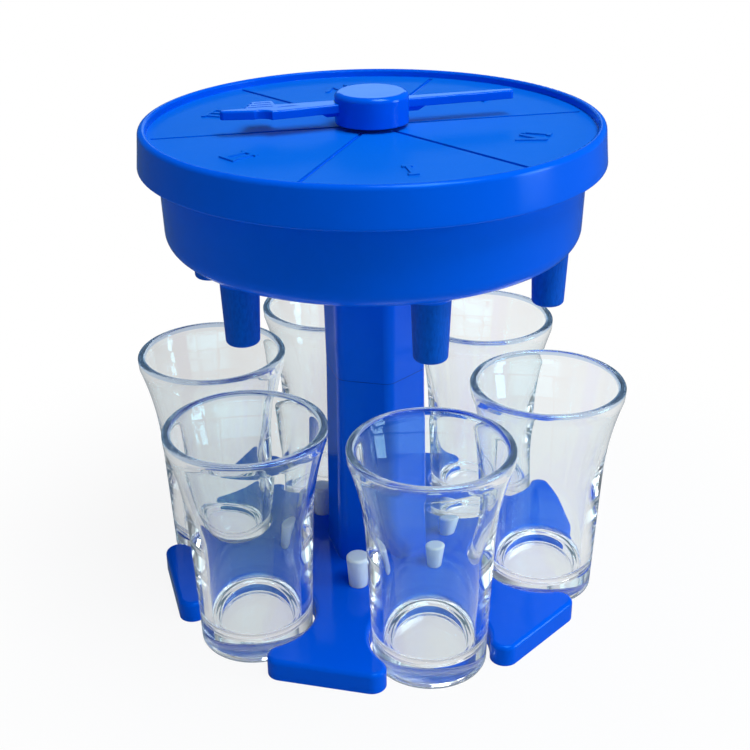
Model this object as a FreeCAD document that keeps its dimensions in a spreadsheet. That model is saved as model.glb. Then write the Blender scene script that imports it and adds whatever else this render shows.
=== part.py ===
"""Party shot dispenser: base with post, tray with spouts, dial lid, spinner, six cups and six plugs.

Millimetres, +Z up, the origin on the table under the middle of the post. Arms, plugs and dial grooves
stand at 0, 60, 120 ... degrees from +X. Cups, spouts and the post's corners stand half a step further.
"""
import FreeCAD, Part
import Sketcher
import math
import os

STATIONS = 6
STEP = 360 / STATIONS
HALF_STEP = STEP / 2
# Sketcher's numbers for the points of an item, and for the sketch's own origin and upright axis
START, END, CENTRE = 1, 2, 3
ORIGIN_POINT, CROSS_AXIS = -1, -2
NUMERALS = ("I", "II", "III", "IV", "V", "VI")
# Radius and rise of a rounded end as shares of its width: just short of a half round
END_RADIUS = 0.52
END_RISE = END_RADIUS - math.sqrt(END_RADIUS ** 2 - 0.25)
# How near an edge has to lie to the place where it is looked for
TOLERANCE = 1e-4

SIZES = {
    # Circles that the stations stand on
    "cup_circle_radius": 57.9,
    "plug_circle_radius": 27.8,
    # Base
    "base_height": 7.2,
    "base_wall": 2.0,
    "base_rounding": 1.5,
    "arm_overhang": 23.76,
    "arm_corner": 4.6,
    "notch_gap": 0.9,
    "rib_thickness": 2.0,
    "hub_margin": 1.0,
    # Six-sided post, widest across its flats where base and tray meet
    "seam_height": 77.1,
    "post_flats": 30.1,
    "post_corner": 4.0,
    "post_wall": 2.0,
    "post_draft": 0.8,
    "spigot_length": 15.0,
    "spigot_gap": 0.3,
    "spigot_chamfer": 0.8,
    # Tray, which takes its width from the lid above it
    "tray_height": 123.1,
    "tray_depth": 32.75,
    "tray_flare": 0.9,
    "tray_wall": 2.0,
    "tray_rounding": 5.5,
    "flange_width": 3.2,
    "flange_thickness": 2.0,
    # Spouts under the tray
    "spout_inset": 8.9,
    "spout_length": 19.3,
    "spout_tip_radius": 5.1,
    "spout_bore_radius": 3.0,
    "spout_root_radius": 5.85,
    "spout_rounding": 1.2,
    "spout_root_rounding": 0.8,
    # Lid
    "lid_plate": 2.0,
    "lid_rim_height": 2.45,
    "lid_rim_width": 2.4,
    "lid_radius": 71.0,
    "lid_flare": 1.1,
    "skirt_depth": 7.55,
    "skirt_wall": 1.3,
    "skirt_gap": 0.3,
    "lid_rounding": 1.5,
    "lid_edge_rounding": 0.7,
    "lid_boss_radius": 5.5,
    "lid_boss_height": 1.2,
    "dial_turn": -4.75,
    "groove_width": 1.4,
    "groove_depth": 0.5,
    "groove_start": 9.0,
    "groove_margin": 1.4,
    # Raised numerals
    "numeral_circle_radius": 50.5,
    "numeral_height": 9.0,
    "numeral_stroke": 1.3,
    "numeral_pitch": 3.6,
    "numeral_serif": 0.9,
    "numeral_relief": 0.45,
    # Spinner
    "knob_radius": 11.4,
    "knob_height": 9.2,
    "knob_wall": 2.0,
    "knob_rounding": 1.6,
    "stem_radius": 4.4,
    "journal_radius": 2.8,
    "journal_gap": 0.1,
    "spinner_play": 0.15,
    "pointer_turn": 178.5,
    "arm_level": 3.9,
    "arm_thickness": 2.6,
    "arm_rounding": 0.6,
    "pointer_length": 46.5,
    "sleeve_width": 6.4,
    "fist_back": 28.8,
    "fist_length": 6.0,
    "fist_depth": 8.6,
    "palm_bulge": 5.25,
    "palm_hollow_radius": 3.6,
    "finger_width": 2.3,
    "finger_start": 38.7,
    "thumb_length": 6.4,
    "line_width": 0.5,
    "line_depth": 0.5,
    "tail_length": 45.8,
    "tail_root_width": 4.8,
    "tail_tip_width": 3.1,
    "gusset_drop": 1.4,
    "gusset_length": 3.0,
    "gusset_slope": 2.4,
    "gusset_width": 3.2,
    # Screw and washer under the lid
    "washer_radius": 5.0,
    "washer_thickness": 0.8,
    "screw_radius": 1.5,
    "screw_gap": 0.05,
    "screw_length": 9.0,
    "screw_point": 1.2,
    "screw_head_radius": 3.0,
    "screw_head_height": 1.9,
    "screw_head_rounding": 0.7,
    "driver_slot_length": 3.6,
    "driver_slot_width": 0.8,
    "driver_slot_depth": 1.0,
    # Cups
    "cup_height": 76.5,
    "cup_foot_radius": 18.2,
    "cup_waist_radius": 19.9,
    "cup_waist_height": 44.0,
    "cup_flare_radius": 106.0,
    "cup_lip_radius": 25.4,
    "cup_lip_draft": 0.25,
    "cup_lip_height": 3.0,
    "cup_lip_thickness": 2.8,
    "cup_bottom": 6.0,
    "cup_floor_radius": 14.9,
    "cup_inner_curve": 432.0,
    "cup_floor_rounding": 3.0,
    "cup_foot_rounding": 0.8,
    "cup_recess_radius": 14.5,
    "cup_recess_depth": 0.8,
    # Plugs, stored in sockets in the base
    "plug_length": 16.2,
    "plug_low_radius": 2.8,
    "plug_top_radius": 4.0,
    "plug_rounding": 1.0,
    "socket_depth": 5.0,
    "socket_gap": 0.15,
    "socket_wall": 1.5,
}


def make_sheet(doc):
    """The spreadsheet of driving sizes: a number per cell, with its name as the cell's alias."""
    sheet = doc.addObject("Spreadsheet::Sheet", "Sizes")
    for row, (name, value) in enumerate(SIZES.items(), start=1):
        cell = "B%d" % row
        sheet.set("A%d" % row, name)
        sheet.set(cell, str(value))
        sheet.setAlias(cell, name)
    doc.recompute()


# Formulas that several pieces share

def s(name):
    """A size of the sheet, as a formula."""
    return "Sizes." + name


CUP_WALL_AT_BASE = ("(Sizes.cup_foot_radius + (Sizes.cup_waist_radius - Sizes.cup_foot_radius)"
                    " * Sizes.base_height / Sizes.cup_waist_height)")
NOTCH_RADIUS = "(%s + Sizes.notch_gap)" % CUP_WALL_AT_BASE
SEAM_APOTHEM = "(Sizes.post_flats / 2)"
STUB_BORE_APOTHEM = "(%s - Sizes.post_wall)" % SEAM_APOTHEM
SPIGOT_APOTHEM = "(%s - Sizes.spigot_gap)" % STUB_BORE_APOTHEM
POST_FOOT_APOTHEM = ("(%s + (Sizes.seam_height - Sizes.base_height) * tan(Sizes.post_draft))"
                     % SEAM_APOTHEM)
TRAY_RIM = "(Sizes.tray_height + Sizes.tray_depth)"
LID_TOP = "(Sizes.lid_plate + Sizes.lid_rim_height)"
RIM_INNER_RADIUS = "(Sizes.lid_radius - Sizes.lid_rim_width)"
SKIRT_INNER_RADIUS = "(Sizes.lid_radius - Sizes.skirt_wall)"
FLANGE_RADIUS = "(%s - Sizes.skirt_gap)" % SKIRT_INNER_RADIUS
TRAY_WALL_RADIUS = "(%s - Sizes.flange_width)" % FLANGE_RADIUS
TRAY_FOOT_RADIUS = "(%s - Sizes.tray_flare)" % TRAY_WALL_RADIUS
SPOUT_CIRCLE_RADIUS = "(%s - Sizes.spout_inset)" % TRAY_FOOT_RADIUS
HUB_HOLE_RADIUS = "(Sizes.journal_radius + Sizes.journal_gap)"
SPINNER_LEVEL = "(%s + Sizes.lid_plate + Sizes.lid_boss_height + Sizes.spinner_play)" % TRAY_RIM
JOURNAL_LENGTH = "(Sizes.lid_plate + Sizes.lid_boss_height + 2 * Sizes.spinner_play)"
WASHER_TOP = "(%s - %s)" % (SPINNER_LEVEL, JOURNAL_LENGTH)
SCREW_BORE_RADIUS = "(Sizes.screw_radius + Sizes.screw_gap)"
PLUG_FOOT = "(Sizes.base_height - Sizes.socket_depth)"
SOCKET_RADIUS = ("(Sizes.plug_low_radius + (Sizes.plug_top_radius - Sizes.plug_low_radius)"
                 " * Sizes.socket_depth / Sizes.plug_length + Sizes.socket_gap)")


# Sketches

def origin_feature(body, role):
    """A plane or an axis of the body's own origin."""
    return next(item for item in body.Origin.OriginFeatures if item.Role == role)


def new_sketch(body, name, role="XY_Plane", lift=None, place=None):
    """An empty sketch on a plane of the body's origin, raised by a formula or set by a placement."""
    sketch = body.newObject("Sketcher::SketchObject", name)
    sketch.AttachmentSupport = [(origin_feature(body, role), "")]
    sketch.MapMode = "FlatFace"
    if lift:
        sketch.setExpression("AttachmentOffset", "placement(vector(0; 0; %s); rotation(0; 0; 0))" % lift)
    if place:
        sketch.setExpression("AttachmentOffset", place)
    return sketch


def polar_place(radius, angle, height, turn):
    """Placement formula at a radius and an angle about Z, turned by turn degrees."""
    ends = (radius, angle, radius, angle, height, turn)
    return "placement(vector(%s * cos(%s); %s * sin(%s); %s); rotation(vector(0; 0; 1); %s))" % ends


def number(item, formula):
    """The value that a formula has now."""
    value = item.evalExpression(formula)
    return getattr(value, "Value", value)


def dimension(sketch, kind, refs, formula):
    """Add one dimension and bind it to a formula."""
    value = number(sketch, formula)
    index = sketch.addConstraint(Sketcher.Constraint(kind, *refs, value))
    name = "size_%d" % index
    sketch.renameConstraint(index, name)
    sketch.setExpression("Constraints." + name, formula)


def pin(sketch, item, point, x, y):
    """Tie a point to a place given by two formulas."""
    for kind, axis, formula in (("DistanceX", CROSS_AXIS, x), ("DistanceY", ORIGIN_POINT, y)):
        value = number(sketch, formula)
        if abs(value) < 1e-9:
            sketch.addConstraint(Sketcher.Constraint("PointOnObject", item, point, axis))
        elif value < 0:
            dimension(sketch, kind, (item, point, ORIGIN_POINT, START), "-(%s)" % formula)
        else:
            dimension(sketch, kind, (ORIGIN_POINT, START, item, point), formula)


def arc_between(start, end, radius, left):
    """The short arc between two points, bulging to the right of the way unless left is set."""
    chord = end - start
    middle = (start + end) * 0.5
    side = FreeCAD.Vector(-chord.y, chord.x, 0).normalize()
    reach = math.sqrt(max(radius ** 2 - (chord.Length / 2) ** 2, 0))
    centre = middle - side * reach if left else middle + side * reach
    first = start - centre
    last = end - centre
    angles = [math.atan2(first.y, first.x), math.atan2(last.y, last.x)]
    if left:
        angles.reverse()
    circle = Part.Circle(centre, FreeCAD.Vector(0, 0, 1), radius)
    return Part.ArcOfCircle(circle, angles[0], angles[1])


def outline(sketch, corners):
    """A closed outline. Each corner is (x, y), or (x, y, radius, side) where an arc leads on from it.

    The side is "left" or "right": where the arc bulges, seen along the way round.
    """
    places = [FreeCAD.Vector(number(sketch, c[0]), number(sketch, c[1]), 0) for c in corners]
    ends = []
    for index, corner in enumerate(corners):
        start = places[index]
        end = places[(index + 1) % len(places)]
        if len(corner) == 2:
            item = sketch.addGeometry(Part.LineSegment(start, end))
            ends.append((item, START, END))
        else:
            left = corner[3] == "left"
            item = sketch.addGeometry(arc_between(start, end, number(sketch, corner[2]), left))
            ends.append((item, END, START) if left else (item, START, END))
    for index, (item, first, last) in enumerate(ends):
        following, following_first, _ = ends[(index + 1) % len(ends)]
        sketch.addConstraint(Sketcher.Constraint("Coincident", item, last, following, following_first))
        pin(sketch, item, first, corners[index][0], corners[index][1])
        if len(corners[index]) == 4:
            dimension(sketch, "Radius", (item,), corners[index][2])


def circle(sketch, x, y, radius):
    """A circle at a place given by two formulas."""
    centre = FreeCAD.Vector(number(sketch, x), number(sketch, y), 0)
    round_shape = Part.Circle(centre, FreeCAD.Vector(0, 0, 1), number(sketch, radius))
    item = sketch.addGeometry(round_shape)
    pin(sketch, item, CENTRE, x, y)
    dimension(sketch, "Radius", (item,), radius)


def hexagon(sketch, apothem, corner):
    """A six-sided outline with rounded corners, its flats at 0, 60, 120 ... degrees."""
    corners = []
    for side in range(STATIONS):
        angle = side * STEP
        half_flat = "((%s) - (%s)) * tan(%s)" % (apothem, corner, HALF_STEP)
        for sign, lead in (("-", ()), ("+", (corner, "right"))):
            x = "(%s) * cos(%s) %s (%s) * cos(%s)" % (apothem, angle, sign, half_flat, angle + 90)
            y = "(%s) * sin(%s) %s (%s) * sin(%s)" % (apothem, angle, sign, half_flat, angle + 90)
            corners.append((x, y) + lead)
    outline(sketch, corners)


# Features

def add_feature(body, kind, name, profile, reverse=False, length=None, taper=None, through=False):
    """A pad or pocket of a sketch, its length and taper bound to formulas."""
    feature = body.newObject("PartDesign::" + kind, name)
    feature.Profile = profile
    feature.Reversed = reverse
    if through:
        feature.Type = "ThroughAll"
    else:
        feature.setExpression("Length", length)
    if taper:
        feature.setExpression("TaperAngle", taper)
    body.Document.recompute()
    return feature


def turned(body, kind, name, profile):
    """A revolution or groove of a sketch about its own upright axis."""
    feature = body.newObject("PartDesign::" + kind, name)
    feature.Profile = profile
    feature.ReferenceAxis = (profile, ["V_Axis"])
    feature.Angle = 360
    body.Document.recompute()
    return feature


def repeat(body, name, features, count=STATIONS):
    """The features repeated about the body's Z axis."""
    pattern = body.newObject("PartDesign::PolarPattern", name)
    pattern.Originals = features
    pattern.Axis = (origin_feature(body, "Z_Axis"), [""])
    pattern.Angle = 360
    pattern.Occurrences = count
    body.Tip = pattern
    body.Document.recompute()
    return pattern


def soften(body, name, kind, size, choose):
    """Fillet or chamfer the edges of the body's tip that choose picks."""
    tip = body.Tip
    edges = ["Edge%d" % n for n, edge in enumerate(tip.Shape.Edges, start=1) if choose(edge)]
    if not edges:
        raise RuntimeError("no edge to soften for " + name)
    feature = body.newObject("PartDesign::" + kind, name)
    feature.Base = (tip, edges)
    feature.setExpression("Radius" if kind == "Fillet" else "Size", size)
    body.Document.recompute()
    return feature


def flat_at(height):
    """Picks the edges that lie level at a height."""
    def choose(edge):
        box = edge.BoundBox
        return abs(box.ZMin - height) < TOLERANCE and abs(box.ZMax - height) < TOLERANCE
    return choose


def ring_at(height, radius):
    """Picks the level circles about Z of a radius and at a height."""
    def choose(edge):
        curve = edge.Curve
        if not isinstance(curve, Part.Circle):
            return False
        if math.hypot(curve.Center.x, curve.Center.y) > TOLERANCE:
            return False
        return abs(curve.Center.z - height) < TOLERANCE and abs(curve.Radius - radius) < TOLERANCE
    return choose


def new_body(doc, name, place=None):
    """A body named after its piece, set by a placement formula."""
    body = doc.addObject("PartDesign::Body", name)
    body.Label = name
    if place:
        body.setExpression("Placement", place)
    return body


# Base

def arm_corners(inset, inner):
    """Outline of one arm along +X, drawn inset from its edge, closed by the inner corners.

    Its end is a straight face. A rounded corner joins the face to the notch of each cup beside it.
    """
    cup_x = "(Sizes.cup_circle_radius * cos(%s))" % HALF_STEP
    cup_y = "(Sizes.cup_circle_radius * sin(%s))" % HALF_STEP
    face = "(%s + Sizes.arm_overhang - (%s))" % (cup_x, inset)
    corner = "(Sizes.arm_corner - (%s))" % inset
    notch = "(%s + (%s))" % (NOTCH_RADIUS, inset)
    reach = "(%s + Sizes.arm_corner)" % NOTCH_RADIUS
    middle_x = "(%s + Sizes.arm_overhang - Sizes.arm_corner)" % cup_x
    middle_y = "(%s - sqrt(%s^2 - (%s - %s)^2))" % (cup_y, reach, middle_x, cup_x)
    meet_x = "(%s + %s * (%s - %s) / %s)" % (cup_x, notch, middle_x, cup_x, reach)
    meet_y = "(%s + %s * (%s - %s) / %s)" % (cup_y, notch, middle_y, cup_y, reach)
    last_x, last_y = inner[-1]
    lower = [(x, "-(%s)" % y) for x, y in inner]
    lower[-1] = lower[-1] + (notch, "left")
    lower.append((meet_x, "-(%s)" % meet_y, corner, "right"))
    lower.append((face, "-(%s)" % middle_y))
    upper = [(face, middle_y, corner, "right"), (meet_x, meet_y, notch, "left"), (last_x, last_y)]
    upper.extend(reversed(inner[:-1]))
    return lower + upper


def build_base(doc):
    """Six-armed foot with the lower post: one hollow moulding, open underneath."""
    body = new_body(doc, "base")
    tan_half = "tan(%s)" % HALF_STEP

    # The arm is drawn to the middle of the foot, so that six of them make the whole plate
    near = "(Sizes.cup_circle_radius - %s)" % NOTCH_RADIUS
    sketch = new_sketch(body, "arm_outline")
    corners = arm_corners("0", [("%s * cos(%s)" % (near, HALF_STEP), "%s * sin(%s)" % (near, HALF_STEP))])
    outline(sketch, [("0", "0")] + corners)
    arm = add_feature(body, "Pad", "arm_plate", sketch, length=s("base_height"))
    repeat(body, "six_arms", [arm])
    soften(body, "plate_rounding", "Fillet", s("base_rounding"), flat_at(SIZES["base_height"]))

    sketch = new_sketch(body, "post_outline", lift=s("seam_height"))
    hexagon(sketch, SEAM_APOTHEM, s("post_corner"))
    add_feature(body, "Pad", "post", sketch, reverse=True, taper=s("post_draft"),
                length="Sizes.seam_height - Sizes.base_height")

    sketch = new_sketch(body, "spigot_outline", lift=s("seam_height"))
    spigot_corner = "Sizes.post_corner - Sizes.post_wall - Sizes.spigot_gap"
    hexagon(sketch, SPIGOT_APOTHEM, spigot_corner)
    add_feature(body, "Pad", "spigot", sketch, length=s("spigot_length"))
    spigot_top = SIZES["seam_height"] + SIZES["spigot_length"]
    soften(body, "spigot_lead", "Chamfer", s("spigot_chamfer"), flat_at(spigot_top))

    sketch = new_sketch(body, "post_core_outline")
    hexagon(sketch, STUB_BORE_APOTHEM, "Sizes.post_corner - Sizes.post_wall")
    add_feature(body, "Pocket", "post_core", sketch, reverse=True,
                length="Sizes.seam_height - Sizes.post_wall")

    sketch = new_sketch(body, "spigot_core_outline")
    circle(sketch, "0", "0", "%s - Sizes.post_wall" % SPIGOT_APOTHEM)
    add_feature(body, "Pocket", "spigot_core", sketch, reverse=True,
                length="Sizes.seam_height + Sizes.spigot_length - Sizes.post_wall")

    # Ribs stay between the hollows of neighbouring arms
    rib = "(Sizes.rib_thickness / 2)"
    hub = "(%s + Sizes.hub_margin)" % POST_FOOT_APOTHEM
    hollow_notch = "(%s + Sizes.base_wall)" % NOTCH_RADIUS
    along = "(Sizes.cup_circle_radius - sqrt(%s^2 - %s^2))" % (hollow_notch, rib)
    rib_end = ("%s * cos(%s) + %s * sin(%s)" % (along, HALF_STEP, rib, HALF_STEP),
               "%s * sin(%s) - %s * cos(%s)" % (along, HALF_STEP, rib, HALF_STEP))
    rib_start = (hub, "%s * %s - %s / cos(%s)" % (hub, tan_half, rib, HALF_STEP))
    sketch = new_sketch(body, "arm_hollow_outline")
    outline(sketch, arm_corners(s("base_wall"), [rib_start, rib_end]))
    hollow = add_feature(body, "Pocket", "arm_hollow", sketch, reverse=True,
                         length="Sizes.base_height - Sizes.base_wall")
    repeat(body, "six_hollows", [hollow])

    sketch = new_sketch(body, "socket_boss_outline", lift="%s - Sizes.socket_wall" % PLUG_FOOT)
    circle(sketch, s("plug_circle_radius"), "0", "%s + Sizes.socket_wall" % SOCKET_RADIUS)
    boss = add_feature(body, "Pad", "socket_boss", sketch,
                       length="Sizes.socket_depth + Sizes.socket_wall - Sizes.base_wall / 2")
    sketch = new_sketch(body, "socket_outline", lift=s("base_height"))
    circle(sketch, s("plug_circle_radius"), "0", SOCKET_RADIUS)
    socket = add_feature(body, "Pocket", "socket", sketch, length=s("socket_depth"))
    repeat(body, "six_sockets", [boss, socket])
    return body


# Tray

def build_tray(doc):
    """Round tray with the upper post stub and six spouts: one moulding."""
    body = new_body(doc, "tray")
    floor_top = "(Sizes.tray_height + Sizes.tray_wall)"
    under_flange = "(%s - Sizes.flange_thickness)" % TRAY_RIM
    sketch = new_sketch(body, "tray_profile", role="XZ_Plane")
    outline(sketch, [
        ("0", s("tray_height")),
        (TRAY_FOOT_RADIUS, s("tray_height")),
        (TRAY_WALL_RADIUS, under_flange),
        (FLANGE_RADIUS, under_flange),
        (FLANGE_RADIUS, TRAY_RIM),
        (TRAY_WALL_RADIUS + " - Sizes.tray_wall", TRAY_RIM),
        (TRAY_FOOT_RADIUS + " - Sizes.tray_wall", floor_top),
        ("0", floor_top),
    ])
    turned(body, "Revolution", "bowl", sketch)
    foot_radius = number(body, TRAY_FOOT_RADIUS)
    foot = ring_at(SIZES["tray_height"], foot_radius)
    soften(body, "bowl_rounding", "Fillet", s("tray_rounding"), foot)
    inner_foot = ring_at(SIZES["tray_height"] + SIZES["tray_wall"], foot_radius - SIZES["tray_wall"])
    soften(body, "bowl_inner_rounding", "Fillet", "Sizes.tray_rounding - Sizes.tray_wall", inner_foot)

    sketch = new_sketch(body, "stub_outline", lift=s("seam_height"))
    hexagon(sketch, SEAM_APOTHEM, s("post_corner"))
    stub_length = "Sizes.tray_height - Sizes.seam_height"
    add_feature(body, "Pad", "stub", sketch, taper=s("post_draft"), length=stub_length)
    sketch = new_sketch(body, "stub_bore_outline", lift=s("seam_height"))
    hexagon(sketch, STUB_BORE_APOTHEM, "Sizes.post_corner - Sizes.post_wall")
    add_feature(body, "Pocket", "stub_bore", sketch, reverse=True, length=stub_length)

    # The spout is turned about its own axis and reaches into the floor, whose edge is round there
    tip = "(Sizes.tray_height - Sizes.spout_length)"
    root = "(Sizes.tray_height + Sizes.tray_wall / 2)"
    on_axis = "placement(vector(0; 0; -%s); rotation(0; 0; 0))" % SPOUT_CIRCLE_RADIUS
    sketch = new_sketch(body, "spout_profile", role="XZ_Plane", place=on_axis)
    outline(sketch, [
        ("0", tip),
        ("Sizes.spout_tip_radius - Sizes.spout_rounding", tip, s("spout_rounding"), "right"),
        (s("spout_tip_radius"), tip + " + Sizes.spout_rounding"),
        (s("spout_root_radius"), root),
        ("0", root),
    ])
    spout = turned(body, "Revolution", "spout", sketch)
    sketch = new_sketch(body, "spout_bore_outline", lift=tip)
    circle(sketch, "0", SPOUT_CIRCLE_RADIUS, s("spout_bore_radius"))
    bore = add_feature(body, "Pocket", "spout_bore", sketch, reverse=True, through=True)
    repeat(body, "six_spouts", [spout, bore])

    spout_circle = number(body, SPOUT_CIRCLE_RADIUS)

    def spout_root(edge):
        """Picks the seam of each spout's outside with the floor above it."""
        height = SIZES["tray_height"]
        box = edge.BoundBox
        if box.ZMin < height - TOLERANCE or box.ZMax > height + SIZES["tray_wall"] - TOLERANCE:
            return False
        middle = edge.valueAt((edge.FirstParameter + edge.LastParameter) / 2)
        angle = round((math.degrees(math.atan2(middle.y, middle.x)) - HALF_STEP) / STEP) * STEP
        angle = math.radians(angle + HALF_STEP)
        away = math.hypot(middle.x - spout_circle * math.cos(angle),
                          middle.y - spout_circle * math.sin(angle))
        return SIZES["spout_bore_radius"] + TOLERANCE < away < SIZES["spout_root_radius"]
    soften(body, "spout_root_rounding", "Fillet", s("spout_root_rounding"), spout_root)
    return body


# Lid

def bar_numeral(sketch, count, middle):
    """Upright bars side by side, their ends joined by a serif bar above and below."""
    stroke = "Sizes.numeral_stroke"
    half_tall = "(Sizes.numeral_height / 2)"
    shoulder = "(%s - %s)" % (half_tall, stroke)
    half_bars = "(%d * Sizes.numeral_pitch / 2 + %s / 2)" % (count - 1, stroke)
    half_wide = "(%s + Sizes.numeral_serif)" % half_bars
    right = "%s + %s" % (middle, half_wide)
    left = "%s - %s" % (middle, half_wide)
    bar_right = "%s + %s" % (middle, half_bars)
    bar_left = "%s - %s" % (middle, half_bars)
    outline(sketch, [
        (left, "-" + half_tall), (right, "-" + half_tall), (right, "-" + shoulder),
        (bar_right, "-" + shoulder), (bar_right, shoulder), (right, shoulder),
        (right, half_tall), (left, half_tall), (left, shoulder),
        (bar_left, shoulder), (bar_left, "-" + shoulder), (left, "-" + shoulder),
    ])
    for gap in range(count - 1):
        start = "%s + %d * Sizes.numeral_pitch" % (bar_left, gap)
        near = "%s + %s" % (start, stroke)
        far = "%s + Sizes.numeral_pitch" % start
        outline(sketch, [(near, "-" + shoulder), (far, "-" + shoulder), (far, shoulder),
                         (near, shoulder)])


def vee_numeral(sketch, middle):
    """Two slanting strokes that meet at the foot."""
    half_tall = "(Sizes.numeral_height / 2)"
    half_wide = "(Sizes.numeral_pitch)"
    slant = "(Sizes.numeral_stroke * sqrt(1 + (%s / Sizes.numeral_height)^2))" % half_wide
    outline(sketch, [
        ("%s - %s" % (middle, half_wide), half_tall),
        ("%s - %s / 2" % (middle, slant), "-" + half_tall),
        ("%s + %s / 2" % (middle, slant), "-" + half_tall),
        ("%s + %s" % (middle, half_wide), half_tall),
        ("%s + %s - %s" % (middle, half_wide, slant), half_tall),
        (middle, "-%s + %s * Sizes.numeral_height / %s" % (half_tall, slant, half_wide)),
        ("%s - %s + %s" % (middle, half_wide, slant), half_tall),
    ])


def draw_numeral(sketch, numeral):
    """Draw a Roman numeral about the sketch's origin."""
    vee_step = "(Sizes.numeral_pitch + Sizes.numeral_serif + Sizes.numeral_stroke)"
    if "V" not in numeral:
        bar_numeral(sketch, len(numeral), "0")
    elif numeral == "V":
        vee_numeral(sketch, "0")
    elif numeral == "IV":
        bar_numeral(sketch, 1, "-%s / 2" % vee_step)
        vee_numeral(sketch, "%s / 2" % vee_step)
    else:
        vee_numeral(sketch, "-%s / 2" % vee_step)
        bar_numeral(sketch, 1, "%s / 2" % vee_step)


def build_lid(doc):
    """Skirted lid with a raised rim, six sector grooves and six raised numerals."""
    turn = "placement(vector(0; 0; %s); rotation(vector(0; 0; 1); Sizes.dial_turn))" % TRAY_RIM
    body = new_body(doc, "lid", turn)
    skirt_radius = "(Sizes.lid_radius + Sizes.lid_flare)"
    boss_top = "(Sizes.lid_plate + Sizes.lid_boss_height)"
    sketch = new_sketch(body, "lid_profile", role="XZ_Plane")
    outline(sketch, [
        (HUB_HOLE_RADIUS, "0"),
        (SKIRT_INNER_RADIUS, "0"),
        (SKIRT_INNER_RADIUS, "-Sizes.skirt_depth"),
        (skirt_radius, "-Sizes.skirt_depth"),
        (s("lid_radius"), LID_TOP),
        (RIM_INNER_RADIUS, LID_TOP),
        (RIM_INNER_RADIUS, s("lid_plate")),
        (s("lid_boss_radius"), s("lid_plate")),
        (s("lid_boss_radius"), boss_top),
        (HUB_HOLE_RADIUS, boss_top),
    ])
    turned(body, "Revolution", "lid_shell", sketch)
    top = SIZES["lid_plate"] + SIZES["lid_rim_height"]
    rim_inner = SIZES["lid_radius"] - SIZES["lid_rim_width"]
    flare = SIZES["lid_radius"] + SIZES["lid_flare"]
    soften(body, "rim_rounding", "Fillet", s("lid_rounding"), ring_at(top, SIZES["lid_radius"]))
    soften(body, "rim_inner_rounding", "Fillet", s("lid_edge_rounding"), ring_at(top, rim_inner))
    soften(body, "skirt_rounding", "Fillet", s("lid_edge_rounding"),
           ring_at(-SIZES["skirt_depth"], flare))

    sketch = new_sketch(body, "groove_outline", lift=s("lid_plate"))
    groove_end = "%s - Sizes.groove_margin" % RIM_INNER_RADIUS
    half_groove = "Sizes.groove_width / 2"
    outline(sketch, [
        (s("groove_start"), "-(%s)" % half_groove), (groove_end, "-(%s)" % half_groove),
        (groove_end, half_groove), (s("groove_start"), half_groove),
    ])
    groove = add_feature(body, "Pocket", "groove", sketch, length=s("groove_depth"))
    repeat(body, "six_grooves", [groove])

    # Numerals run clockwise from the front, their heads towards the middle
    for index, numeral in enumerate(NUMERALS):
        angle = -90 - index * STEP
        place = polar_place("Sizes.numeral_circle_radius", angle, s("lid_plate"), angle + 90)
        sketch = new_sketch(body, "numeral_outline_%d" % (index + 1), place=place)
        draw_numeral(sketch, numeral)
        add_feature(body, "Pad", "numeral_%d" % (index + 1), sketch, length=s("numeral_relief"))
    return body


# Spinner and its pivot

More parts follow.
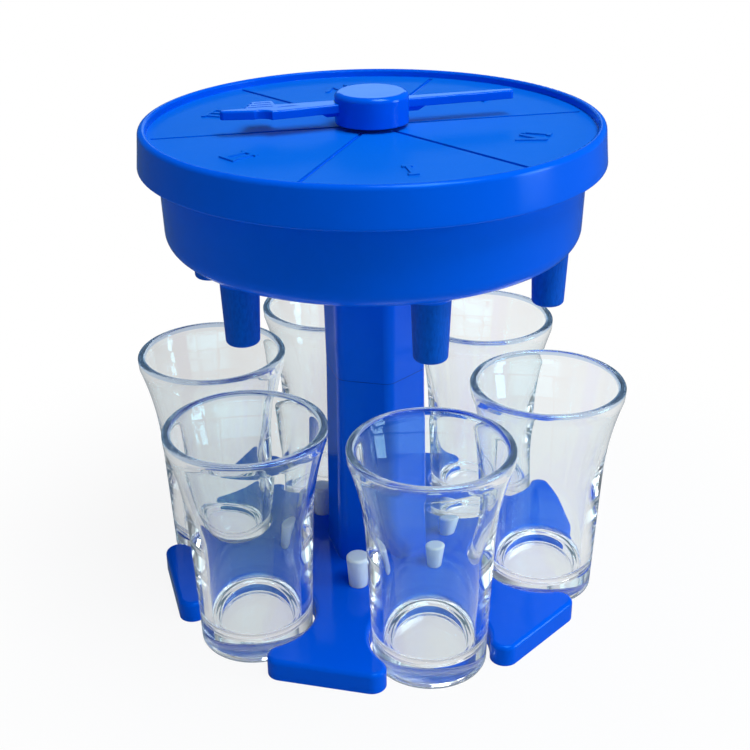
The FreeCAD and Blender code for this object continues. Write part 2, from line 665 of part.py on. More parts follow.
def build_spinner(doc):
    """Round knob with a pointing hand on one side and a tail on the other: one moulding."""
    turn = "placement(vector(0; 0; %s); rotation(vector(0; 0; 1); Sizes.pointer_turn))"
    body = new_body(doc, "spinner", turn % SPINNER_LEVEL)
    ceiling = "(Sizes.knob_height - Sizes.knob_wall)"
    inside = "(Sizes.knob_radius - Sizes.knob_wall)"
    sketch = new_sketch(body, "knob_profile", role="XZ_Plane")
    outline(sketch, [
        ("0", "-" + JOURNAL_LENGTH),
        (s("journal_radius"), "-" + JOURNAL_LENGTH),
        (s("journal_radius"), "0"),
        (s("stem_radius"), "0"),
        (s("stem_radius"), ceiling),
        (inside, ceiling),
        (inside, "0"),
        (s("knob_radius"), "0"),
        (s("knob_radius"), s("knob_height")),
        ("0", s("knob_height")),
    ])
    turned(body, "Revolution", "knob", sketch)
    soften(body, "knob_top_rounding", "Fillet", s("knob_rounding"),
           ring_at(SIZES["knob_height"], SIZES["knob_radius"]))

    # Both arms start inside the knob's wall
    root = "(Sizes.knob_radius - Sizes.knob_wall / 2)"
    half_sleeve = "(Sizes.sleeve_width / 2)"
    half_finger = "(Sizes.finger_width / 2)"
    finger_end = "(Sizes.pointer_length - Sizes.finger_width * %s)" % END_RISE
    fist_front = "(Sizes.fist_back + Sizes.fist_length)"
    curl_step_x = "((Sizes.finger_start - %s) / 3)" % fist_front
    curl_step_y = "((Sizes.fist_depth - %s) / 3)" % half_finger
    knuckle_x = "((%s + Sizes.finger_start) / 2)" % fist_front
    palm_x = "(Sizes.fist_back + Sizes.fist_length / 2)"
    curl_radius = "(sqrt(%s^2 + %s^2) * 0.6)" % (curl_step_x, curl_step_y)
    curls = [("%s + %d * %s" % (fist_front, n, curl_step_x),
              "-Sizes.fist_depth + %d * %s" % (n, curl_step_y), curl_radius, "right") for n in range(3)]
    sketch = new_sketch(body, "pointer_outline", lift=s("arm_level"))
    outline(sketch, [
        (root, "-" + half_sleeve),
        (s("fist_back"), "-" + half_sleeve),
        (s("fist_back"), "-Sizes.fist_depth"),
        *curls,
        (s("finger_start"), "-" + half_finger),
        (finger_end, "-" + half_finger, "Sizes.finger_width * %s" % END_RADIUS, "right"),
        (finger_end, half_finger),
        (knuckle_x, "(Sizes.palm_bulge + %s) / 2" % half_finger, s("palm_hollow_radius"), "left"),
        (palm_x, s("palm_bulge")),
        ("%s - Sizes.fist_length * 0.75" % palm_x, "Sizes.palm_bulge * 0.95"),
        (root, half_sleeve),
    ])
    add_feature(body, "Pad", "pointer", sketch, length=s("arm_thickness"))

    sketch = new_sketch(body, "tail_outline", lift=s("arm_level"))
    tail_tip = "-(Sizes.tail_length - Sizes.tail_tip_width * %s)" % END_RISE
    outline(sketch, [
        ("-" + root, "Sizes.tail_root_width / 2"),
        (tail_tip, "Sizes.tail_tip_width / 2", "Sizes.tail_tip_width * %s" % END_RADIUS, "right"),
        (tail_tip, "-Sizes.tail_tip_width / 2"),
        ("-" + root, "-Sizes.tail_root_width / 2"),
    ])
    add_feature(body, "Pad", "tail", sketch, length=s("arm_thickness"))

    top = SIZES["arm_level"] + SIZES["arm_thickness"]
    wide = SIZES["knob_radius"] + SIZES["arm_rounding"]

    def arm_top(edge):
        box = edge.BoundBox
        return flat_at(top)(edge) and max(abs(box.XMin), abs(box.XMax)) > wide
    soften(body, "arm_edge_rounding", "Fillet", s("arm_rounding"), arm_top)

    gusset_end = "(Sizes.knob_radius + Sizes.gusset_length)"
    low = "(Sizes.arm_level - Sizes.gusset_drop)"
    sketch = new_sketch(body, "gusset_outline", role="XZ_Plane")
    outline(sketch, [
        (root, low), (gusset_end, low),
        ("%s + Sizes.gusset_slope" % gusset_end, s("arm_level")), (root, s("arm_level")),
    ])
    gusset = body.newObject("PartDesign::Pad", "gusset")
    gusset.Profile = sketch
    gusset.SideType = "Symmetric"
    gusset.setExpression("Length", s("gusset_width"))
    doc.recompute()
    repeat(body, "two_gussets", [gusset], count=2)

    # Shallow lines on the hand: a gap beside each curled finger, and the thumb's curved crease
    sketch = new_sketch(body, "hand_lines_outline", lift="Sizes.arm_level + Sizes.arm_thickness")
    line = "Sizes.line_width"
    for n in (1, 2, 3):
        low_y = "(-Sizes.fist_depth + %d * %s - %s / 2)" % (n, curl_step_y, line)
        start_x = "(Sizes.fist_back + 3 * %s)" % line
        end_x = "(%s + %d * %s - 2 * %s)" % (fist_front, n, curl_step_x, line)
        outline(sketch, [(start_x, low_y), (end_x, low_y), (end_x, "%s + %s" % (low_y, line)),
                         (start_x, "%s + %s" % (low_y, line))])
    thumb_y = "(Sizes.palm_bulge / 5)"
    outline(sketch, [
        ("Sizes.fist_back + %s - Sizes.thumb_length" % line, thumb_y, "Sizes.thumb_length * 0.8", "right"),
        ("Sizes.fist_back + " + line, thumb_y, "Sizes.thumb_length * 1.5", "left"),
    ])
    add_feature(body, "Pocket", "hand_lines", sketch, length=s("line_depth"))

    sketch = new_sketch(body, "screw_bore_outline", lift="-" + JOURNAL_LENGTH)
    circle(sketch, "0", "0", SCREW_BORE_RADIUS)
    add_feature(body, "Pocket", "screw_bore", sketch, reverse=True,
                length="Sizes.screw_length - Sizes.washer_thickness + Sizes.screw_gap")
    return body


def build_washer(doc):
    """Flat washer that the screw clamps against the end of the spinner's journal."""
    body = new_body(doc, "spinner_washer",
                    "placement(vector(0; 0; %s - Sizes.washer_thickness); rotation(0; 0; 0))" % WASHER_TOP)
    sketch = new_sketch(body, "washer_outline")
    circle(sketch, "0", "0", s("washer_radius"))
    circle(sketch, "0", "0", SCREW_BORE_RADIUS)
    add_feature(body, "Pad", "washer_disc", sketch, length=s("washer_thickness"))
    return body


def build_screw(doc):
    """Pan-head self-tapping screw with a plain shank and a cross recess."""
    body = new_body(doc, "spinner_screw",
                    "placement(vector(0; 0; %s - Sizes.washer_thickness); rotation(0; 0; 0))" % WASHER_TOP)
    sketch = new_sketch(body, "screw_profile", role="XZ_Plane")
    outline(sketch, [
        ("0", "-Sizes.screw_head_height"),
        (s("screw_head_radius"), "-Sizes.screw_head_height"),
        (s("screw_head_radius"), "0"),
        (s("screw_radius"), "0"),
        (s("screw_radius"), "Sizes.screw_length - Sizes.screw_point"),
        ("Sizes.screw_radius / 3", s("screw_length")),
        ("0", s("screw_length")),
    ])
    turned(body, "Revolution", "screw_blank", sketch)
    soften(body, "screw_head_edge", "Fillet", s("screw_head_rounding"),
           ring_at(-SIZES["screw_head_height"], SIZES["screw_head_radius"]))
    half_length = "(Sizes.driver_slot_length / 2)"
    half_width = "(Sizes.driver_slot_width / 2)"
    sketch = new_sketch(body, "slot_outline", lift="-Sizes.screw_head_height")
    outline(sketch, [("-" + half_length, "-" + half_width), (half_length, "-" + half_width),
                     (half_length, half_width), ("-" + half_length, half_width)])
    slot = add_feature(body, "Pocket", "driver_slot", sketch, reverse=True,
                       length=s("driver_slot_depth"))
    repeat(body, "driver_cross", [slot], count=4)
    return body


# Cups and plugs

def build_cup(doc, index):
    """Flared cup with a thick bottom, a rounded lip and a shallow recess underneath."""
    angle = -90 + index * STEP
    body = new_body(doc, "cup_%d" % (index + 1), polar_place("Sizes.cup_circle_radius", angle, "0", "0"))
    lip_middle = "(Sizes.cup_height - Sizes.cup_lip_thickness * %s)" % END_RISE
    lip_base = "(%s - Sizes.cup_lip_height)" % lip_middle
    sketch = new_sketch(body, "cup_profile", role="XZ_Plane")
    outline(sketch, [
        ("0", s("cup_recess_depth")),
        (s("cup_recess_radius"), s("cup_recess_depth")),
        ("Sizes.cup_recess_radius + Sizes.cup_recess_depth", "0"),
        (s("cup_foot_radius"), "0"),
        (s("cup_waist_radius"), s("cup_waist_height"), s("cup_flare_radius"), "left"),
        ("Sizes.cup_lip_radius - Sizes.cup_lip_draft", lip_base),
        (s("cup_lip_radius"), lip_middle, "Sizes.cup_lip_thickness * %s" % END_RADIUS, "right"),
        ("Sizes.cup_lip_radius - Sizes.cup_lip_thickness", lip_middle, s("cup_inner_curve"), "right"),
        (s("cup_floor_radius"), s("cup_bottom")),
        ("0", s("cup_bottom")),
    ])
    turned(body, "Revolution", "cup_wall", sketch)
    soften(body, "foot_rounding", "Fillet", s("cup_foot_rounding"), ring_at(0, SIZES["cup_foot_radius"]))
    soften(body, "floor_rounding", "Fillet", s("cup_floor_rounding"),
           ring_at(SIZES["cup_bottom"], SIZES["cup_floor_radius"]))
    return body


def build_plug(doc, index):
    """Tapered silicone plug, standing in its socket in the base."""
    place = polar_place("Sizes.plug_circle_radius", index * STEP, PLUG_FOOT, "0")
    body = new_body(doc, "plug_%d" % (index + 1), place)
    sketch = new_sketch(body, "plug_profile", role="XZ_Plane")
    outline(sketch, [("0", "0"), (s("plug_low_radius"), "0"), (s("plug_top_radius"), s("plug_length")),
                     ("0", s("plug_length"))])
    turned(body, "Revolution", "plug_cone", sketch)
    soften(body, "plug_top_rounding", "Fillet", s("plug_rounding"),
           ring_at(SIZES["plug_length"], SIZES["plug_top_radius"]))
    return body


def check(doc, bodies):
    """Stop if any object failed to build or any piece isn't one valid solid."""
    failed = [item.Name for item in doc.Objects if "Invalid" in item.State or "Error" in item.State]
    if failed:
        raise RuntimeError("failed objects: " + ", ".join(failed))
    for body in bodies:
        shape = body.Shape
        if shape.isNull() or not shape.isValid() or len(shape.Solids) != 1:
            raise RuntimeError("%s isn't one valid solid" % body.Label)


def main():
    """Build every piece, check it and write its file."""
    doc = FreeCAD.newDocument("party_shot_dispenser")
    make_sheet(doc)
    bodies = [build_base(doc), build_tray(doc), build_lid(doc), build_spinner(doc)]
    bodies += [build_washer(doc), build_screw(doc)]
    bodies += [build_cup(doc, index) for index in range(STATIONS)]
    bodies += [build_plug(doc, index) for index in range(STATIONS)]
    doc.recompute()
    check(doc, bodies)
    os.makedirs("parts", exist_ok=True)
    for body in bodies:
        body.Shape.exportStep(os.path.join("parts", body.Label + ".step"))
        print(body.Label, round(body.Shape.Volume, 1), body.Shape.BoundBox)


main()
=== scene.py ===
"""Looks of the party shot dispenser: materials, clear cups, floor, light and camera.

Metres, +Z up, the origin on the floor under the middle of the post.
"""
import math

import bmesh
import bpy
from mathutils import Matrix, Vector

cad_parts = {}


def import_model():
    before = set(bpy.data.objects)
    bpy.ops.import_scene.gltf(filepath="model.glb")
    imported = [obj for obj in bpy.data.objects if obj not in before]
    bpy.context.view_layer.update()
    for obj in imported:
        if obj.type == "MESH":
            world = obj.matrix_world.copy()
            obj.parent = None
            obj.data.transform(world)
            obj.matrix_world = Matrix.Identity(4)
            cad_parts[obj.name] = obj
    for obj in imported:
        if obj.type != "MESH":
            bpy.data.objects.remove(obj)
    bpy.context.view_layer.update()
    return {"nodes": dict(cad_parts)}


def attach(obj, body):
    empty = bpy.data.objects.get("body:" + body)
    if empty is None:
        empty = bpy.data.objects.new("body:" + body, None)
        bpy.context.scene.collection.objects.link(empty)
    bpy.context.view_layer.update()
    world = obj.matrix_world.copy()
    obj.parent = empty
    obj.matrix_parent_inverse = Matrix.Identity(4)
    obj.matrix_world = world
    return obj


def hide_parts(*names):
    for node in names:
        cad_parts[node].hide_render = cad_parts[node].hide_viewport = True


MM = 0.001
PHOTO_SIDE = 750
STATIONS = 6
STEP = math.radians(60)
NOISE_DETAIL = 3.0

# Camera: its place about the post, and its lens in pixels of the picture
CAMERA_TURN = math.radians(-16.45)
CAMERA_DISTANCE = 372.2 * MM
CAMERA_HEIGHT = 253.1 * MM
CAMERA_PITCH = math.radians(25.87)
CAMERA_ROLL = math.radians(0.70)
CAMERA_FOCUS = 1227
SENSOR = 36.0

# Colours of the plastics, the silicone and the steel, and a painted blue-grey reflection for the cups' lips
BLUE = (0.0, 0.116, 0.84, 1)
DEEP_BLUE = (0.0, 0.098, 0.76, 1)
BLUE_SHEEN = (0.06, 0.45, 1.0, 1)
PALE_SHEEN = (0.30, 0.68, 1.0, 1)
LID_DARK = (0.0, 0.120, 0.68, 1)
LID_LIGHT = (0.0, 0.152, 0.79, 1)
SPOUT_DARK = (0.0, 0.05, 0.40, 1)
SPOUT_LIGHT = (0.0, 0.12, 0.72, 1)
SEAM_BLUE = (0.0, 0.04, 0.38, 1)
CLEAR = (0.945, 0.985, 0.995, 1)
# Painted reflection: the lip is tinted blue-grey to stand in for the dark surroundings it mirrors and bends
LIP_PAINTED_REFLECTION = (0.42, 0.58, 0.80, 1)
CLEAR_SHEEN = (0.45, 0.85, 1.0, 1)
SILICONE = (0.84, 0.98, 1.0, 1)
DEEP_SILICONE = (0.76, 0.93, 0.98, 1)
STEEL = (0.56, 0.57, 0.59, 1)
DEEP_STEEL = (0.42, 0.43, 0.45, 1)

# Colours of the surroundings
WHITE = (1, 1, 1, 1)
FLOOR_GREY = (0.80, 0.80, 0.80, 1)
MIRRORED_ROOM = (0.07, 0.36, 0.90, 1)
MIRRORED_FLOOR = (0.36, 0.58, 0.80, 1)
FRONT_ROOM = (0.78, 0.96, 1.0, 1)
COOL_LIGHT = (0.90, 0.96, 1.0)
BLUE_LIGHT = (0.40, 0.72, 1.0)

# Lamps: name, place, the point that it faces, width, height, watts and colour
LAMPS = (
    ("softbox_key", (0.27, -0.44, 1.26), (0, 0, 0.08), 0.6, 0.6, 11.2, COOL_LIGHT),
    ("softbox_right", (0.95, -0.50, 0.26), (0, 0, 0.1), 0.35, 0.6, 5.4, COOL_LIGHT),
    ("softbox_top", (0.16, 0.0, 1.15), (0, 0, 0.1), 0.3, 0.3, 3.2, COOL_LIGHT),
    ("strip_behind", (0.31, 1.05, 0.42), (0, 0, 0.16), 0.6, 0.10, 0.25, BLUE_LIGHT),
    ("fill_left", (-1.05, -0.25, 0.45), (0, 0, 0.1), 0.4, 0.6, 0.25, COOL_LIGHT),
)

# The studio round the object, as (position, level) stops along a direction's height, side and front
PASSED_BY_HEIGHT = ((0.0, 1.0), (0.35, 1.0), (0.75, 0.50), (1.0, 0.40))
PASSED_BY_SIDE = ((0.0, 1.0), (0.45, 1.0), (0.75, 0.25), (1.0, 0.15))
FRONT_SHARE = ((0.0, 0.0), (0.2, 0.0), (0.6, 1.0), (1.0, 1.0))
FRONT_GAIN = 1.5
MIRRORED_BY_HEIGHT = ((0.0, 0.55), (0.3, 0.35), (0.7, 0.20), (1.0, 0.15))
DIFFUSE_LEVEL = 0.15
LIGHT_BOUNCES = 64

# The floor: how much of it is plain by metres from the middle, and its level through the cups by X + 0.5
FLOOR_RADIUS = 6.0
FLOOR_PLAIN = ((0.0, 0.90), (0.09, 0.90), (0.22, 1.0), (1.0, 1.0))
FLOOR_THROUGH_CUPS = ((0.0, 0.25), (0.15, 0.62), (0.4, 0.70), (0.65, 0.92), (0.8, 0.90), (1.0, 0.30))
FLOOR_MIRRORED_LEVEL = 0.22

# Cups, in millimetres: their circle about the post, and the turned outline's corners as radius and height
CUP_CIRCLE = 57.9
CUP_SIDES = 144
CUP_UNDERSIDE = [(0, 0.8), (4.5, 0.8), (9.0, 0.8), (14.1, 0.8), (14.5, 0.75), (15.2, 0.05), (15.5, 0),
                 (16.5, 0)]
CUP_FOOT = (17.4, 0)
CUP_FOOT_TOP = (18.23, 0.8)
CUP_WAIST = (19.9, 44.0)
CUP_FLARE_TOP = (25.15, 72.44)
CUP_LIP_OUTER = (25.37, 75.4)
CUP_LIP_INNER = (22.63, 75.4)
CUP_WALL_FOOT = (15.0, 9.0)
CUP_FLOOR_EDGE = (11.95, 6.0)
CUP_INNER_FLOOR = [(11.5, 6.0), (8.0, 6.0), (4.0, 6.0), (0, 6.0)]
# Arcs between those corners: start, end, radius, steps, and whether it bulges to the left of the way
CUP_ARCS = (
    (CUP_FOOT, CUP_FOOT_TOP, 0.82, 5, False),
    (CUP_FOOT_TOP, CUP_WAIST, 4000.0, 8, True),
    (CUP_WAIST, CUP_FLARE_TOP, 106.0, 26, True),
    (CUP_FLARE_TOP, CUP_LIP_OUTER, 40.0, 3, False),
    (CUP_LIP_OUTER, CUP_LIP_INNER, 1.43, 14, False),
    (CUP_LIP_INNER, CUP_WALL_FOOT, 432.0, 30, False),
    (CUP_WALL_FOOT, CUP_FLOOR_EDGE, 3.07, 9, False),
)

# Regions with a finish of their own, or, on the cups' lips, a painted reflection, in millimetres: low,
# high, near and far
CUP_FLOOR = (5.8, 6.2, -1, 11.9)
CUP_LIP = (75.2, 78, 20, 27)
CUP_RINGS = (5.8, 9.5, 10.5, 16.5)
LID_TOP = (157.4, 170, -1, 68.5)
SPOUTS = (90, 122.6, 40, 75)
SEAM = (76.9, 77.2, -1, 30)

# Patches of the blue mouldings: region, dark, light, roughness, grain depth in millimetres, stretch
LID_PATCH = (LID_TOP, LID_DARK, LID_LIGHT, 0.42, 0.012, (1, 1, 1))
SPOUT_PATCH = (SPOUTS, SPOUT_DARK, SPOUT_LIGHT, 0.62, 0.12, (1, 1, 0.35))
SEAM_PATCH = (SEAM, SEAM_BLUE, SEAM_BLUE, 0.5, 0.0, (1, 1, 1))

# Blue mouldings: node, roughness, grain depth in millimetres, sheen and patch
MOULDINGS = (
    ("base", 0.12, 0.004, BLUE_SHEEN, SEAM_PATCH),
    ("tray", 0.15, 0.006, BLUE_SHEEN, SPOUT_PATCH),
    ("lid", 0.16, 0.006, BLUE_SHEEN, LID_PATCH),
    ("spinner", 0.10, 0.003, PALE_SHEEN, None),
)


# Camera, light and floor

def make_camera():
    """The camera at the photograph's viewing angle."""
    data = bpy.data.cameras.new("camera")
    data.sensor_width = SENSOR
    data.lens = SENSOR * CAMERA_FOCUS / PHOTO_SIDE
    camera = bpy.data.objects.new("camera", data)
    bpy.context.scene.collection.objects.link(camera)
    outward = Vector((math.sin(CAMERA_TURN), -math.cos(CAMERA_TURN), 0))
    forward = -outward * math.cos(CAMERA_PITCH) + Vector((0, 0, -math.sin(CAMERA_PITCH)))
    level = forward.cross(Vector((0, 0, 1))).normalized()
    down = forward.cross(level)
    right = level * math.cos(CAMERA_ROLL) + down * math.sin(CAMERA_ROLL)
    up = right.cross(forward)
    place = outward * CAMERA_DISTANCE + Vector((0, 0, CAMERA_HEIGHT))
    turn = Matrix((right, up, -forward)).transposed().to_4x4()
    camera.matrix_world = Matrix.Translation(place) @ turn
    bpy.context.scene.camera = camera


def make_lamp(name, place, target, width, height, power, colour):
    """A soft rectangular lamp that faces a target."""
    data = bpy.data.lights.new(name, "AREA")
    data.shape = "RECTANGLE"
    data.size = width
    data.size_y = height
    data.energy = power
    data.color = colour
    lamp = bpy.data.objects.new(name, data)
    bpy.context.scene.collection.objects.link(lamp)
    lamp.location = place
    lamp.rotation_mode = "QUATERNION"
    lamp.rotation_quaternion = (Vector(target) - Vector(place)).to_track_quat("-Z", "Y")


def make_world():
    """White behind the object, a soft studio for the light that falls on it or goes through the cups."""
    world = bpy.data.worlds.new("studio")
    bpy.context.scene.world = world
    world.use_nodes = True
    tree = world.node_tree
    tree.nodes.clear()
    rays = tree.nodes.new("ShaderNodeLightPath")
    direction = tree.nodes.new("ShaderNodeTexCoord")
    axes = tree.nodes.new("ShaderNodeSeparateXYZ")
    tree.links.new(direction.outputs["Generated"], axes.inputs["Vector"])

    is_passed = rays.outputs["Is Transmission Ray"]
    passed = make_ramp(tree, axes.outputs["Z"], PASSED_BY_HEIGHT)
    across = math_node(tree, "ABSOLUTE", axes.outputs["X"])
    passed = math_node(tree, "MULTIPLY", passed, make_ramp(tree, across, PASSED_BY_SIDE))
    ahead = math_node(tree, "MULTIPLY", axes.outputs["Y"], -1.0)
    front = make_ramp(tree, ahead, FRONT_SHARE)
    gain = math_node(tree, "MULTIPLY_ADD", front, FRONT_GAIN, 1.0)
    passed = math_node(tree, "MULTIPLY", passed, gain)
    mirrored = make_ramp(tree, axes.outputs["Z"], MIRRORED_BY_HEIGHT)
    level = math_node(tree, "MULTIPLY", rays.outputs["Is Diffuse Ray"], DIFFUSE_LEVEL)
    level = math_node(tree, "MULTIPLY_ADD", is_passed, passed, level)
    glossy = math_node(tree, "SUBTRACT", rays.outputs["Is Glossy Ray"], is_passed)
    glossy = math_node(tree, "MAXIMUM", glossy, 0.0)
    level = math_node(tree, "MULTIPLY_ADD", glossy, mirrored, level)
    level = math_node(tree, "MAXIMUM", level, rays.outputs["Is Camera Ray"])

    background = tree.nodes.new("ShaderNodeBackground")
    in_front = math_node(tree, "MULTIPLY", is_passed, front)
    colour = mix_colour(tree, in_front, WHITE, FRONT_ROOM)
    feed(tree, background.inputs["Color"], mix_colour(tree, glossy, colour, MIRRORED_ROOM))
    tree.links.new(level, background.inputs["Strength"])
    output = tree.nodes.new("ShaderNodeOutputWorld")
    tree.links.new(background.outputs["Background"], output.inputs["Surface"])


def allow_bounces():
    """Enough bounces for light that runs inside a cup's wall and lip to come out again."""
    paths = bpy.context.scene.cycles
    paths.max_bounces = LIGHT_BOUNCES
    paths.transmission_bounces = LIGHT_BOUNCES
    paths.glossy_bounces = LIGHT_BOUNCES


def make_floor():
    """A pale floor: plain white away from the object's shadow, and a little greyer through the cups."""
    bpy.ops.mesh.primitive_circle_add(vertices=96, radius=FLOOR_RADIUS, fill_type="NGON")
    floor = bpy.context.object
    floor.name = "floor"
    material = bpy.data.materials.new("pale_floor")
    material.use_nodes = True
    tree = material.node_tree
    tree.nodes.clear()
    diffuse = tree.nodes.new("ShaderNodeBsdfDiffuse")
    diffuse.inputs["Color"].default_value = FLOOR_GREY
    glow = tree.nodes.new("ShaderNodeEmission")
    rays = tree.nodes.new("ShaderNodeLightPath")
    is_direct = rays.outputs["Is Camera Ray"]
    is_passed = rays.outputs["Is Transmission Ray"]
    pale = math_node(tree, "MAXIMUM", is_direct, is_passed)
    seen = math_node(tree, "MAXIMUM", pale, rays.outputs["Is Glossy Ray"])
    place = tree.nodes.new("ShaderNodeTexCoord")
    distance = tree.nodes.new("ShaderNodeVectorMath")
    distance.operation = "LENGTH"
    tree.links.new(place.outputs["Object"], distance.inputs[0])
    plain = make_ramp(tree, distance.outputs["Value"], FLOOR_PLAIN)
    share = math_node(tree, "MULTIPLY", seen, plain)
    axes = tree.nodes.new("ShaderNodeSeparateXYZ")
    tree.links.new(place.outputs["Object"], axes.inputs["Vector"])
    across = math_node(tree, "MULTIPLY_ADD", axes.outputs["X"], 1.0, 0.5)
    passed = make_ramp(tree, across, FLOOR_THROUGH_CUPS)
    feed(tree, glow.inputs["Color"], mix_colour(tree, pale, MIRRORED_FLOOR, WHITE))
    passed = math_node(tree, "MULTIPLY", is_passed, passed)
    strength = math_node(tree, "MAXIMUM", is_direct, passed)
    strength = math_node(tree, "MAXIMUM", strength, FLOOR_MIRRORED_LEVEL)
    feed(tree, glow.inputs["Strength"], strength)
    mix = tree.nodes.new("ShaderNodeMixShader")
    tree.links.new(share, mix.inputs["Fac"])
    tree.links.new(diffuse.outputs["BSDF"], mix.inputs[1])
    tree.links.new(glow.outputs["Emission"], mix.inputs[2])
    output = tree.nodes.new("ShaderNodeOutputMaterial")
    tree.links.new(mix.outputs["Shader"], output.inputs["Surface"])
    floor.data.materials.append(material)


# Shader nodes

def feed(tree, socket, value):
    """Give a socket a number, or link another node's output to it."""
    if isinstance(value, bpy.types.NodeSocket):
        tree.links.new(value, socket)
    else:
        socket.default_value = value


def math_node(tree, operation, *values):
    """The output of a Math node."""
    node = tree.nodes.new("ShaderNodeMath")
    node.operation = operation
    for socket, value in zip(node.inputs, values):
        feed(tree, socket, value)
    return node.outputs[0]


def make_ramp(tree, value, stops):
    """A smooth curve of brightness through (position, level) stops."""
    node = tree.nodes.new("ShaderNodeValToRGB")
    node.color_ramp.interpolation = "EASE"
    marks = node.color_ramp.elements
    while len(marks) < len(stops):
        marks.new(0.5)
    for mark, (position, level) in zip(marks, stops):
        mark.position = position
        mark.color = (level, level, level, 1)
    tree.links.new(value, node.inputs["Fac"])
    return node.outputs["Color"]


def noise_node(tree, vector, scale):
    """The height of a noise texture, about 0.5."""
    node = tree.nodes.new("ShaderNodeTexNoise")
    node.inputs["Scale"].default_value = scale
    node.inputs["Detail"].default_value = NOISE_DETAIL
    tree.links.new(vector, node.inputs["Vector"])
    return node.outputs["Fac"]


def mix_colour(tree, share, first, second):
    """A blend of two colours."""
    node = tree.nodes.new("ShaderNodeMix")
    node.data_type = "RGBA"
    feed(tree, node.inputs["Factor"], share)
    feed(tree, node.inputs["A"], first)
    feed(tree, node.inputs["B"], second)
    return node.outputs["Result"]


def spread(tree, value, low, high):
    """A value from 0 to 1 drawn out from low to high."""
    node = tree.nodes.new("ShaderNodeMapRange")
    node.inputs["To Min"].default_value = low
    node.inputs["To Max"].default_value = high
    tree.links.new(value, node.inputs["Value"])
    return node.outputs["Result"]


def rings(tree, place, scale, distortion=0.0):
    """The height of fine rings about the Z axis."""
    node = tree.nodes.new("ShaderNodeTexWave")
    node.wave_type = "RINGS"
    node.rings_direction = "Z"
    node.inputs["Scale"].default_value = scale
    node.inputs["Distortion"].default_value = distortion
    tree.links.new(place, node.inputs["Vector"])
    return node.outputs["Fac"]


def draw_out(tree, place, factors):
    """Coordinates scaled by a factor for each axis, so that a texture is drawn out along the small ones."""
    node = tree.nodes.new("ShaderNodeVectorMath")
    node.operation = "MULTIPLY"
    node.inputs[1].default_value = factors
    tree.links.new(place, node.inputs[0])
    return node.outputs["Vector"]


def bump(tree, height, distance, normal=None):
    """A normal tilted by a height, its depth in metres."""
    node = tree.nodes.new("ShaderNodeBump")
    node.inputs["Strength"].default_value = 1.0
    node.inputs["Distance"].default_value = distance
    tree.links.new(height, node.inputs["Height"])
    if normal:
        tree.links.new(normal, node.inputs["Normal"])
    return node.outputs["Normal"]


def soft_edges(tree, radius):
    """A normal that rounds the sharp edges of a moulding."""
    node = tree.nodes.new("ShaderNodeBevel")
    node.samples = 6
    node.inputs["Radius"].default_value = radius
    return node.outputs["Normal"]


def in_region(tree, place, region):
    """1 inside a ring about the Z axis, between two levels and two radii, else 0."""
    low, high, near, far = region
    axes = tree.nodes.new("ShaderNodeSeparateXYZ")
    tree.links.new(place, axes.inputs["Vector"])
    level = axes.outputs["Z"]
    away = math_node(tree, "POWER", axes.outputs["X"], 2.0)
    away = math_node(tree, "MULTIPLY_ADD", axes.outputs["Y"], axes.outputs["Y"], away)
    away = math_node(tree, "SQRT", away)
    inside = math_node(tree, "GREATER_THAN", level, low * MM)
    for operation, value, limit in (("LESS_THAN", level, high), ("GREATER_THAN", away, near),
                                    ("LESS_THAN", away, far)):
        test = math_node(tree, operation, value, limit * MM)
        inside = math_node(tree, "MULTIPLY", inside, test)
    return inside


def new_material(name):
    """A material with one Principled shader: its tree, shader and object coordinates."""
    material = bpy.data.materials.new(name)
    material.use_nodes = True
    tree = material.node_tree
    shader = tree.nodes["Principled BSDF"]
    place = tree.nodes.new("ShaderNodeTexCoord")
    return material, tree, shader, place.outputs["Object"]


# Materials

def blue_plastic(name, gloss, grain, sheen, patch):
    """Moulded blue plastic: slow changes of tone, fine grain and softened edges.

    The sheen is the tint of its reflections, and a patch, if any, gives one region a look of its own.
    """
    material, tree, shader, place = new_material(name)
    slow = noise_node(tree, place, 28.0)
    fine = noise_node(tree, place, 900.0)
    tone = mix_colour(tree, slow, DEEP_BLUE, BLUE)
    rough = spread(tree, slow, gloss * 0.85, gloss * 1.2)
    height = math_node(tree, "MULTIPLY", fine, grain)
    if patch:
        region, dark, light, patch_gloss, patch_grain, stretch = patch
        inside = in_region(tree, place, region)
        speckle = noise_node(tree, draw_out(tree, place, stretch), 1400.0)
        tone = mix_colour(tree, inside, tone, mix_colour(tree, speckle, dark, light))
        rough = math_node(tree, "MAXIMUM", rough, math_node(tree, "MULTIPLY", inside, patch_gloss))
        deep = math_node(tree, "MULTIPLY", speckle, patch_grain)
        height = math_node(tree, "MULTIPLY_ADD", inside, deep, height)
    feed(tree, shader.inputs["Base Color"], tone)
    feed(tree, shader.inputs["Roughness"], rough)
    wave = bump(tree, slow, 0.35 * MM, normal=soft_edges(tree, 0.35 * MM))
    feed(tree, shader.inputs["Normal"], bump(tree, height, MM, normal=wave))
    shader.inputs["IOR"].default_value = 1.45
    shader.inputs["Specular IOR Level"].default_value = 0.35
    shader.inputs["Specular Tint"].default_value = sheen
    return material


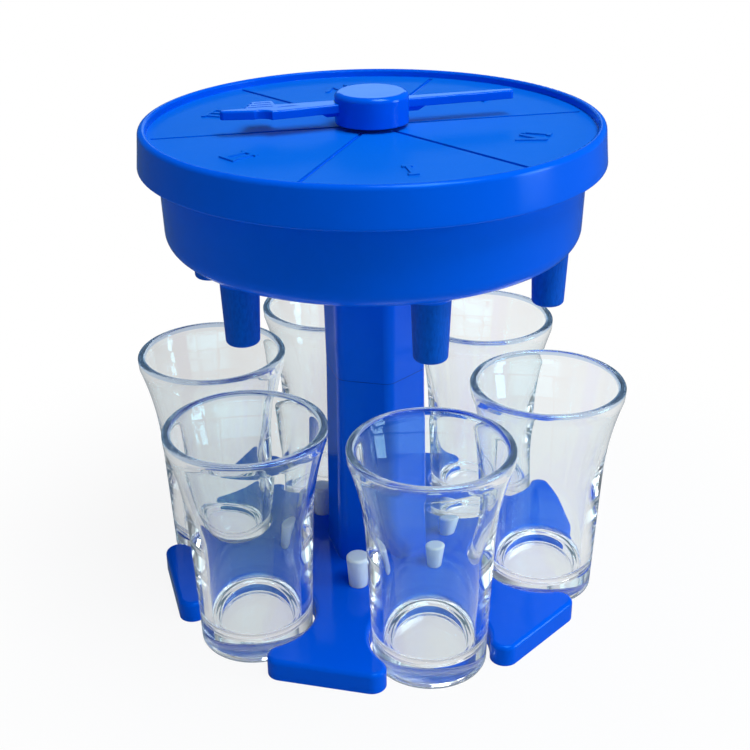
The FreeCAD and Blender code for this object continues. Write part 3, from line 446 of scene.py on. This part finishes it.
def clear_plastic():
    """Clear cup plastic: a blue-grey painted reflection on the lip, faint waves down the wall, a ringed and
    frosted floor inside.
    """
    material, tree, shader, place = new_material("clear_plastic")
    shader.inputs["Transmission Weight"].default_value = 1.0
    shader.inputs["IOR"].default_value = 1.55
    shader.inputs["Specular Tint"].default_value = CLEAR_SHEEN
    inside_floor = in_region(tree, place, CUP_FLOOR)
    lip_reflection_mask = in_region(tree, place, CUP_LIP)
    # Painted reflection: the lip region's colour is tinted blue-grey
    feed(tree, shader.inputs["Base Color"], mix_colour(tree, lip_reflection_mask, CLEAR, LIP_PAINTED_REFLECTION))
    feed(tree, shader.inputs["Roughness"], spread(tree, inside_floor, 0.012, 0.15))
    slow = noise_node(tree, draw_out(tree, place, (1, 1, 0.05)), 110.0)
    wave = bump(tree, slow, 0.02 * MM)
    turned = math_node(tree, "MULTIPLY", rings(tree, place, 260.0), in_region(tree, place, CUP_RINGS))
    wave = bump(tree, turned, 0.08 * MM, normal=wave)
    frost = noise_node(tree, place, 1800.0)
    grain = math_node(tree, "MULTIPLY", frost, inside_floor)
    feed(tree, shader.inputs["Normal"], bump(tree, grain, 0.08 * MM, normal=wave))
    return material


def silicone():
    """Milky silicone of the plugs."""
    material, tree, shader, place = new_material("silicone")
    slow = noise_node(tree, place, 120.0)
    fine = noise_node(tree, place, 1500.0)
    feed(tree, shader.inputs["Base Color"], mix_colour(tree, slow, DEEP_SILICONE, SILICONE))
    feed(tree, shader.inputs["Roughness"], spread(tree, fine, 0.38, 0.52))
    edges = soft_edges(tree, 0.4 * MM)
    feed(tree, shader.inputs["Normal"], bump(tree, fine, 0.03 * MM, normal=edges))
    shader.inputs["Subsurface Weight"].default_value = 0.3
    shader.inputs["Subsurface Radius"].default_value = (1.5 * MM, 2 * MM, 2 * MM)
    shader.inputs["Subsurface Scale"].default_value = 1.0
    shader.inputs["IOR"].default_value = 1.41
    return material


def steel():
    """Turned steel with fine rings round its axis."""
    material, tree, shader, place = new_material("steel")
    slow = noise_node(tree, place, 400.0)
    feed(tree, shader.inputs["Base Color"], mix_colour(tree, slow, DEEP_STEEL, STEEL))
    feed(tree, shader.inputs["Roughness"], spread(tree, slow, 0.22, 0.40))
    turned = rings(tree, place, 900.0, 1.5)
    feed(tree, shader.inputs["Normal"], bump(tree, turned, 0.01 * MM))
    shader.inputs["Metallic"].default_value = 1.0
    return material


# Cups

def arc(start, end, radius, steps, left):
    """Points of an arc after start up to end; left tells which side of the way it bulges to."""
    first = Vector(start)
    last = Vector(end)
    chord = last - first
    side = Vector((-chord.y, chord.x)).normalized()
    reach = math.sqrt(max(radius ** 2 - (chord.length / 2) ** 2, 0))
    centre = (first + last) / 2 + (-side if left else side) * reach
    begin = first - centre
    turn = begin.angle_signed(last - centre)
    points = []
    for step in range(1, steps + 1):
        angle = -turn * step / steps
        swung = Vector((begin.x * math.cos(angle) - begin.y * math.sin(angle),
                        begin.x * math.sin(angle) + begin.y * math.cos(angle)))
        points.append(tuple(centre + swung))
    return points


def cup_profile():
    """Radius and height pairs from the middle of the underside round to the middle of the inner floor."""
    points = CUP_UNDERSIDE + [CUP_FOOT]
    for start, end, radius, steps, left in CUP_ARCS:
        points += arc(start, end, radius, steps, left)
    return points + CUP_INNER_FLOOR


def turn_cup():
    """The mesh of a cup: the profile turned about Z, with one vertex where it meets the axis."""
    mesh = bmesh.new()
    loops = []
    for radius, height in cup_profile():
        loop = []
        for side in range(CUP_SIDES if radius else 1):
            angle = 2 * math.pi * side / CUP_SIDES
            away = radius * MM
            loop.append(mesh.verts.new((away * math.cos(angle), away * math.sin(angle), height * MM)))
        loops.append(loop)
    for lower, upper in zip(loops, loops[1:]):
        for side in range(CUP_SIDES):
            following = (side + 1) % CUP_SIDES
            corners = [lower[side % len(lower)], lower[following % len(lower)],
                       upper[following % len(upper)], upper[side % len(upper)]]
            face = mesh.faces.new(list(dict.fromkeys(corners)))
            face.smooth = True
    bmesh.ops.recalc_face_normals(mesh, faces=mesh.faces)
    return mesh


def build_cup(index, material):
    """One clear cup, standing at its station. It casts no shadow and lights nothing."""
    mesh = turn_cup()
    data = bpy.data.meshes.new("clear_cup_%d" % index)
    mesh.to_mesh(data)
    mesh.free()
    data.materials.append(material)
    cup = bpy.data.objects.new("clear_cup_%d" % index, data)
    bpy.context.scene.collection.objects.link(cup)
    angle = math.radians(-90) + (index - 1) * STEP
    cup.location = (CUP_CIRCLE * MM * math.cos(angle), CUP_CIRCLE * MM * math.sin(angle), 0)
    cup.visible_shadow = False
    cup.visible_diffuse = False
    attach(cup, "cup_%d_body" % index)
    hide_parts("cup_%d" % index)


def dress(node, material):
    """Give a CAD node its material."""
    node.data.materials.clear()
    node.data.materials.append(material)


def main():
    """Dress the frame, build the cups and set the studio."""
    bpy.context.scene.view_settings.view_transform = "Standard"
    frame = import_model()
    nodes = frame["nodes"]
    make_camera()
    make_world()
    allow_bounces()
    for lamp in LAMPS:
        make_lamp(*lamp)
    make_floor()
    for name, gloss, grain, sheen, patch in MOULDINGS:
        dress(nodes[name], blue_plastic(name + "_plastic", gloss, grain, sheen, patch))
    metal = steel()
    dress(nodes["spinner_washer"], metal)
    dress(nodes["spinner_screw"], metal)
    clear = clear_plastic()
    milky = silicone()
    for index in range(1, STATIONS + 1):
        build_cup(index, clear)
        dress(nodes["plug_%d" % index], milky)


main()
